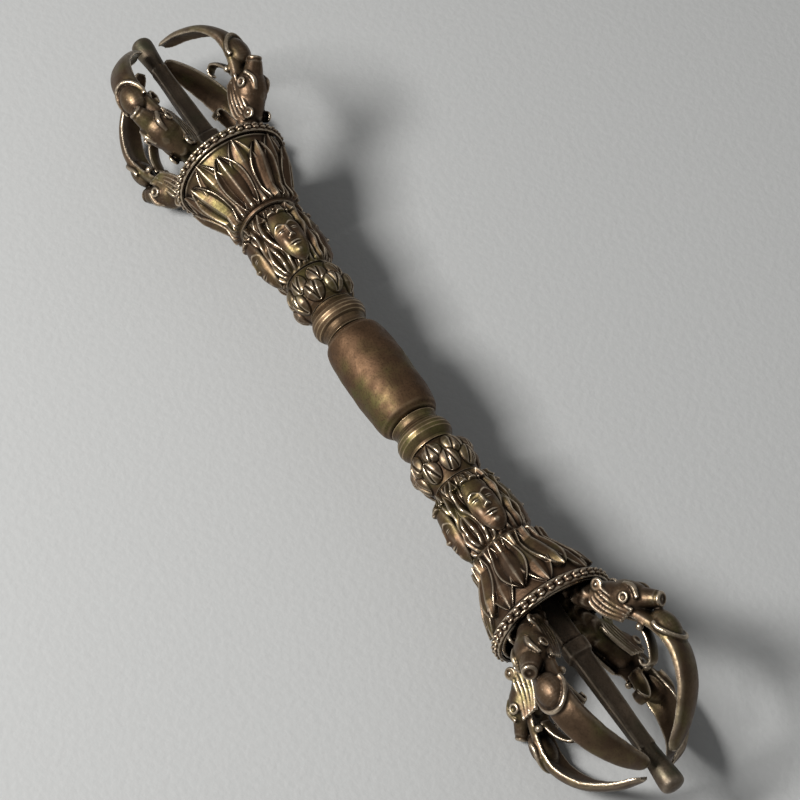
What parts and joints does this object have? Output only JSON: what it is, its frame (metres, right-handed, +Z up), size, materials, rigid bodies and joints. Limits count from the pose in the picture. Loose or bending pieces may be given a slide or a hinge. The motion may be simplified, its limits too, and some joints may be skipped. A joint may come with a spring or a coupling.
{
  "type": "vajra",
  "caption": "Two-ended bronze ritual vajra: turned grip, relief drums, lotus cups and a cage of curved prongs at each end.",
  "frame": {"origin": "on the axis at the middle of the grip, the centre of the part's box", "axes": "+X along the axis towards the end whose faces' chins point outwards, +Z up as it lies"},
  "size_m": [0.21, 0.0332, 0.0318],
  "materials": {
    "hidden_rod": "rough",
    "worn_bronze": "satin",
    "turned_bronze": "satin",
    "carved_bronze": "satin",
    "dark_bronze": "satin",
    "prong_bronze": "satin"
  },
  "bodies": {
    "root": {"core_rod": "hidden_rod", "grip": "worn_bronze", "collar_near": "turned_bronze", "lotus_knot_near": "carved_bronze", "face_drum_near": "carved_bronze", "lotus_cup_near": "carved_bronze", "bead_rim_near": "carved_bronze", "central_prong_near": "dark_bronze", "makara_prong_near_1": "prong_bronze", "makara_prong_near_2": "prong_bronze", "makara_prong_near_3": "prong_bronze", "makara_prong_near_4": "prong_bronze", "collar_far": "turned_bronze", "lotus_knot_far": "carved_bronze", "face_drum_far": "carved_bronze", "lotus_cup_far": "carved_bronze", "bead_rim_far": "carved_bronze", "central_prong_far": "dark_bronze", "makara_prong_far_1": "prong_bronze", "makara_prong_far_2": "prong_bronze", "makara_prong_far_3": "prong_bronze", "makara_prong_far_4": "prong_bronze"}
  },
  "joints": []
}
